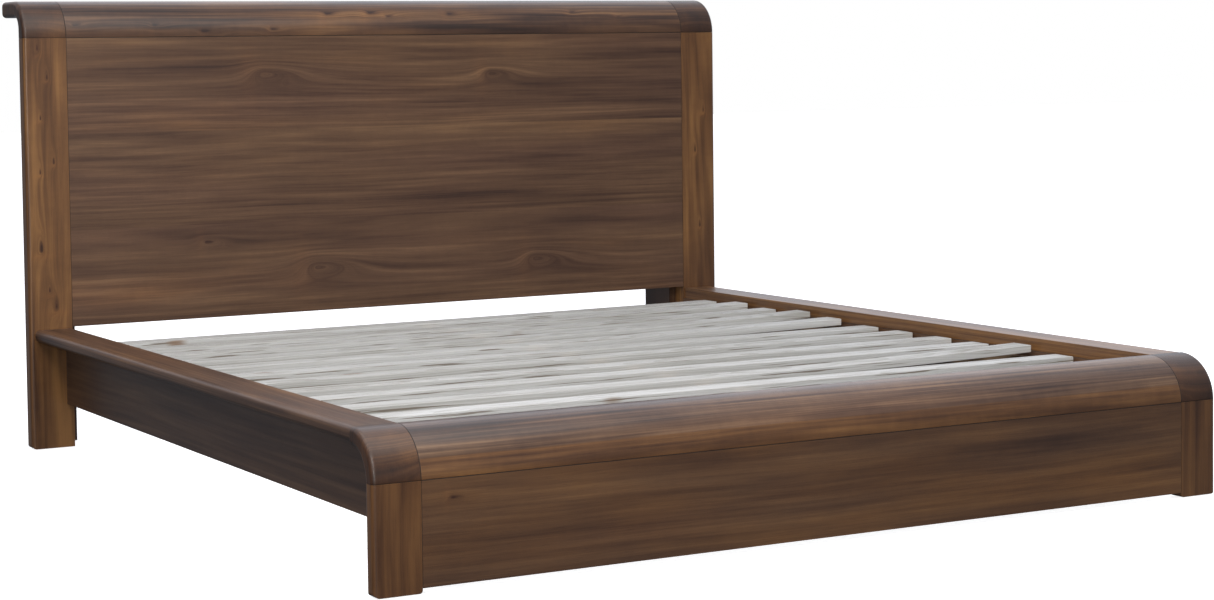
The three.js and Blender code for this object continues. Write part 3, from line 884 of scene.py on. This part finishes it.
def add_foot_roll(name, stations, joints):
    bm = swept(foot_roll_outline(2 * END_ROUND), stations, along_x)
    trim(bm, (0, 0, FOOT_SEAM + SEAM_GAP), (0, 0, -1))
    trim(bm, (0, FOOT_EDGE, 0), (0, 1, 0))
    finish_piece(name, bm, MATERIALS[name], joints)


def add_foot_leg(side, sign):
    name = f"footboard_leg_{side}"
    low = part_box(name)[0].z
    outline = upright_plan(sign * FOOT_INNER, sign * FOOT_OUTER, FOOT_FACE, FOOT_BACK, sign)
    bm = swept(outline, [(low, 0.0), (FOOT_SEAM, 0.0)], along_z)
    round_toe(bm, sign * FOOT_OUTER, low, OUTER_TOE_ROUND, sign)
    round_toe(bm, sign * FOOT_INNER, low, INNER_TOE_ROUND, -sign)
    joints = ((2, FOOT_SEAM), (0, sign * FOOT_INNER))
    finish_piece(name, bm, MATERIALS[name], joints)


def add_footboard():
    ends = ((2, FOOT_SEAM), (0, FOOT_INNER), (0, -FOOT_INNER))
    stations = [(-FOOT_INNER, 0.0), (FOOT_INNER, 0.0)]
    add_foot_roll("footboard_top_rail", stations, ends)
    add_panel("footboard_panel", FOOT_INNER, FOOT_SEAM)
    for side, sign in SIDES:
        add_foot_leg(side, sign)
        inner = sign * (FOOT_INNER + SEAM_GAP)
        stations = rounded_stations(inner, sign * FOOT_OUTER, END_ROUND, 7)
        joints = ((2, FOOT_SEAM), (0, sign * FOOT_INNER), (1, FOOT_EDGE))
        add_foot_roll(f"footboard_corner_{side}", stations, joints)


# ---- Sides ----


def add_cap(side, sign):
    name = f"side_cap_{side}"
    low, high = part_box(name)
    inner, outer = sorted((low.x, high.x), key=abs)
    x = outer - sign * CAP_ROUND
    outline = [Vector((inner, low.z))]
    outline += sided_arc((x, low.z + CAP_ROUND), CAP_ROUND, -90, 0, sign)
    outline += sided_arc((x, high.z - CAP_ROUND), CAP_ROUND, 0, 90, sign)
    outline.append(Vector((inner, high.z)))
    bm = swept(outline, [(low.y, 0.0), (high.y, 0.0)], along_y)
    joints = ((1, low.y), (1, high.y))
    finish_piece(name, bm, MATERIALS[name], joints)


def add_side_rail(side):
    """The fascia, with its foot end coped to the curl's hollow side."""
    name = f"side_rail_{side}"
    low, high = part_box(name)
    centre = (FOOT_FACE + FOOT_ROLL_RADIUS, FOOT_SEAM)
    hollow = FOOT_ROLL_RADIUS - FOOT_THICKNESS - SEAM_GAP
    outline = [Vector((high.y, high.z)), Vector((high.y, low.z)), Vector((low.y, low.z))]
    outline += arc(centre, hollow, 180, 90, 20)
    outline.append(Vector((FOOT_EDGE + SEAM_GAP, FOOT_SEAM + hollow)))
    outline.append(Vector((FOOT_EDGE + SEAM_GAP, high.z)))
    bm = swept(outline, [(low.x, 0.0), (high.x, 0.0)], along_x)
    joints = ((1, low.y), (1, high.y), (2, high.z))
    finish_piece(name, bm, MATERIALS[name], joints)


def add_sides():
    for side, sign in SIDES:
        add_cap(side, sign)
        add_side_rail(side)


# ---- Slats ----


def add_slat(number):
    """A slat that lies flat on the left and bows up towards its right end."""
    name = f"slat_{number:02d}"
    low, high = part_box(name)
    lift = high.z - low.z - SLAT_THICKNESS
    steps = 18
    under, over = [], []
    for i in range(steps + 1):
        x = BEAM_HALF_WIDTH + (high.x - BEAM_HALF_WIDTH) * i / steps
        rise = lift * (i / steps) ** 2
        under.append(Vector((x, low.z + rise)))
        over.append(Vector((x, low.z + SLAT_THICKNESS + rise)))
    outline = [Vector((low.x, low.z)), *under, *reversed(over)]
    outline.append(Vector((low.x, low.z + SLAT_THICKNESS)))
    bm = swept(outline, [(low.y, 0.0), (high.y, 0.0)], along_y)
    finish_piece(name, bm, MATERIALS["slats"], width=SLAT_ARRIS)


def add_slats():
    for number in range(1, 13):
        add_slat(number)


# ---- Levelling feet ----


FOOT_CORNERS = 48
PAD_HEIGHT = 0.0080
# Rings of the pad: how far inside its rim and how far above the floor.
PAD_RINGS = (
    (0.0022, 0.0000),
    (0.0008, 0.0006),
    (0.0000, 0.0022),
    (0.0000, 0.0050),
    (0.0010, 0.0068),
    (0.0030, 0.0076),
    (0.0080, 0.0080),
)
# Half of the hexagon's width across its flats, and its height with the chamfer.
HEXAGON_REACH = 0.0080
HEXAGON_HEIGHT = 0.0044
HEXAGON_CHAMFER = 0.0004
THREAD_PITCH = 0.0015
THREAD_CREST = 0.00498
THREAD_DEPTH = 0.0008
RINGS_PER_PITCH = 6


def hexagon_radius(turn):
    """The hexagon's radius at a part of a turn."""
    angle = (turn * math.tau) % (math.pi / 3) - math.pi / 6
    return HEXAGON_REACH / math.cos(angle)


def thread_radius(z, turn):
    phase = (z / THREAD_PITCH - turn) % 1.0
    return THREAD_CREST - THREAD_DEPTH * abs(2.0 * phase - 1.0)


def foot_rings(low, high):
    """The height and radii of each ring of a levelling foot, from its pad up."""
    pad_radius = (high.x - low.x) / 2
    turns = [i / FOOT_CORNERS for i in range(FOOT_CORNERS)]
    rings = [(low.z + z, [pad_radius - inset] * FOOT_CORNERS) for inset, z in PAD_RINGS]
    pad_top = low.z + PAD_HEIGHT
    start = pad_top + HEXAGON_HEIGHT
    for z, cut in ((pad_top, 0.0), (start - HEXAGON_CHAMFER, 0.0), (start, HEXAGON_CHAMFER)):
        rings.append((z, [hexagon_radius(turn) - cut for turn in turns]))
    count = int((high.z - start) / THREAD_PITCH * RINGS_PER_PITCH)
    for i in range(count):
        z = start + (high.z - start) * i / (count - 1)
        rings.append((z, [thread_radius(z, turn) for turn in turns]))
    return rings


def threaded_foot(low, high):
    """A lathe-turned pad with a hexagon and a helical thread above it."""
    bm = bmesh.new()
    centre = (low + high) / 2
    made = []
    for z, radii in foot_rings(low, high):
        verts = []
        for i, radius in enumerate(radii):
            angle = math.tau * i / FOOT_CORNERS
            x = centre.x + radius * math.cos(angle)
            y = centre.y + radius * math.sin(angle)
            verts.append(bm.verts.new((x, y, z)))
        made.append(verts)
    skin_rings(bm, made)
    return bm


def add_levelling_feet():
    for number in (1, 2, 3):
        name = f"levelling_foot_{number}"
        piece = link_mesh(f"look_{name}", threaded_foot(*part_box(name)))
        piece.data.materials.append(MATERIALS["black_plastic"])
        piece.data.shade_smooth()
        piece.data.set_sharp_from_angle(angle=math.radians(40.0))
        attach(piece, name)
        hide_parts(name)


# ---- Materials of every piece ----


CORNER_LOOK = {"cut": 0.12, "tone": -0.30, "gold": 0.45, "contrast": 0.55, "mottle": 1.4, "coat": 0.1}
RAIL_KNOTS = (
    (-0.945, 1.140, 0.008),
    (-0.719, 1.139, 0.008),
    (-0.577, 1.122, 0.007),
    (-0.372, 1.126, 0.008),
    (-0.197, 1.168, 0.012),
    (-0.063, 1.170, 0.014),
    (-0.009, 1.160, 0.010),
    (0.189, 1.166, 0.012),
    (0.600, 1.170, 0.010),
    (0.755, 1.157, 0.008),
)
POST_KNOTS = {
    "left": (
        (1.077, -1.051, 0.010),
        (0.999, -1.026, 0.007),
        (0.890, -1.046, 0.006),
        (0.772, -1.012, 0.006),
        (0.745, -1.050, 0.006),
        (0.539, -1.051, 0.012),
        (0.427, -1.031, 0.008),
        (0.383, -1.013, 0.011),
    ),
    "right": ((0.867, 1.048, 0.007), (0.745, 1.017, 0.006), (0.514, 1.032, 0.006)),
}


PANEL_KNOTS = (
    (-0.401, 1.000, 0.030),
    (0.314, 0.992, 0.022),
    (-0.247, 0.451, 0.032),
    (-0.580, 0.538, 0.012),
    (0.456, 0.441, 0.026),
)


def head_panel_material():
    """Three leaves of veneer, one above the other."""
    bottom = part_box("headboard_panel")[0].z
    leaf = (HEAD_SEAM - bottom) / 3
    return walnut(
        "headboard_panel",
        "XZY",
        3.1,
        bottom,
        leaf,
        heart=leaf * 1.2,
        cut=0.05,
        tone=0.06,
        contrast=0.60,
        knots=PANEL_KNOTS,
    )


def head_rail_material():
    return walnut(
        "headboard_top_rail",
        "XZY",
        11.4,
        HEAD_SEAM - 0.02,
        0.15,
        tone=-0.12,
        gold=0.35,
        mottle=1.2,
        knots=RAIL_KNOTS,
    )


def head_post_material(side, sign, seed, start, width):
    return walnut(
        f"headboard_post_{side}",
        "ZXY",
        seed,
        start,
        width,
        heart=0.10,
        cut=0.05,
        # Painted light: the right post is made lighter than the left, though both are the same wood.
        tone=0.12 if sign < 0 else 0.27,
        gold=0.8,
        contrast=0.9,
        mottle=1.0,
        knots=POST_KNOTS[side],
    )


def head_materials():
    made = {"headboard_panel": head_panel_material(), "headboard_top_rail": head_rail_material()}
    width = HEAD_OUTER - HEAD_INNER
    for number, (side, sign) in enumerate(SIDES):
        start = min(sign * HEAD_INNER, sign * HEAD_OUTER)
        seed = 21.0 + 9.0 * number
        corner = f"headboard_corner_{side}"
        behind = f"headboard_return_{side}"
        made[f"headboard_post_{side}"] = head_post_material(side, sign, seed, start, width)
        made[corner] = walnut(corner, "ZXY", seed + 3.3, start, width, **CORNER_LOOK)
        made[behind] = walnut(behind, "ZYX", seed + 5.1, HEAD_BACK, 0.08, tone=-0.12, contrast=0.7)
    return made


def foot_panel_material():
    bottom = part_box("footboard_panel")[0].z
    return walnut(
        "footboard_panel",
        "XZY",
        47.3,
        bottom,
        FOOT_SEAM - bottom,
        heart=0.32,
        cut=0.05,
        tone=0.02,
        gold=0.35,
        contrast=0.45,
        knots=((-0.906, 0.184, 0.008),),
    )


def foot_rail_material():
    return walnut(
        "footboard_top_rail",
        "XZY",
        52.8,
        FOOT_SEAM,
        0.15,
        gold=-0.1,
        contrast=0.85,
        mottle=1.6,
        # Painted reflection: the curl is golden below this height and plum above it.
        sheen_band=(FOOT_SEAM + 0.043, FOOT_SEAM + 0.037),
    )


def foot_materials():
    made = {"footboard_panel": foot_panel_material(), "footboard_top_rail": foot_rail_material()}
    width = FOOT_OUTER - FOOT_INNER
    for number, (side, sign) in enumerate(SIDES):
        start = min(sign * FOOT_INNER, sign * FOOT_OUTER)
        seed = 61.0 + 9.0 * number
        leg = f"footboard_leg_{side}"
        corner = f"footboard_corner_{side}"
        made[leg] = walnut(leg, "ZXY", seed, start, width, heart=0.10, cut=0.05, gold=1.1, contrast=0.8)
        made[corner] = walnut(corner, "ZXY", seed + 3.3, start, width, **CORNER_LOOK)
    return made


def cap_material(name, number):
    return walnut(
        name,
        "YXZ",
        81.0 + 9.0 * number,
        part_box(name)[0].x,
        0.1,
        heart=0.1,
        # Painted light: the right cap is made lighter and more golden than the left, for the light on its
        # inner face.
        tone=0.20 * number,
        gold=0.15 + 0.3 * number,
        contrast=0.8,
        mottle=1.0,
    )


def side_rail_material(name, number):
    low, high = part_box(name)
    return walnut(
        name,
        "YZX",
        85.4 + 9.0 * number,
        low.z,
        high.z - low.z,
        heart=0.3,
        # Painted light: the right rail is made lighter than the left, for the light on its inner face.
        tone=0.20 * number - 0.12,
        contrast=0.5,
    )


def side_materials():
    made = {}
    for number, (side, _) in enumerate(SIDES):
        made[f"side_cap_{side}"] = cap_material(f"side_cap_{side}", number)
        made[f"side_rail_{side}"] = side_rail_material(f"side_rail_{side}", number)
    return made


def make_materials():
    made = {**head_materials(), **foot_materials(), **side_materials()}
    slat_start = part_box("slat_01")[1].y + 0.03 - 12 * SLAT_PITCH
    pale, dark = (0.58, 0.58, 0.575), (0.34, 0.33, 0.305)
    made["slats"] = pine("raw_slat_pine", "XYZ", 5.0, slat_start, SLAT_PITCH, pale, dark)
    # The frame's pine is dark brown, far darker than the raw slats: a stain, and in part painted shade under
    # the slats.
    pale, dark = (0.26, 0.175, 0.105), (0.15, 0.095, 0.055)
    made["lengthwise_pine"] = pine("frame_pine_lengthwise", "YXZ", 31.0, -1.2, 0.4, pale, dark)
    made["crosswise_pine"] = pine("frame_pine_crosswise", "XYZ", 37.0, -1.5, 0.5, pale, dark)
    made["upright_pine"] = pine("frame_pine_upright", "ZYX", 43.0, -1.5, 0.25, pale, dark)
    made["zinc_steel"] = zinc_steel()
    made["black_plastic"] = black_plastic()
    return made


# ---- CAD pieces kept as they are ----

KEPT = (
    ("slat_ledger", "lengthwise_pine"),
    ("centre_beam", "lengthwise_pine"),
    ("cross_rail", "crosswise_pine"),
    ("centre_leg", "upright_pine"),
    ("rail_hook", "zinc_steel"),
    ("rail_keeper", "zinc_steel"),
    ("beam_saddle", "zinc_steel"),
    ("leg_insert", "zinc_steel"),
    ("glide", "black_plastic"),
)


def dress_kept_pieces():
    for name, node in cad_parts.items():
        for start, material in KEPT:
            if name.startswith(start):
                node.data.materials.clear()
                node.data.materials.append(MATERIALS[material])


GRAIN = grain_group()
MATERIALS = make_materials()

add_camera()
add_lights()
add_floor()
add_headboard()
add_footboard()
add_sides()
add_slats()
add_levelling_feet()
dress_kept_pieces()
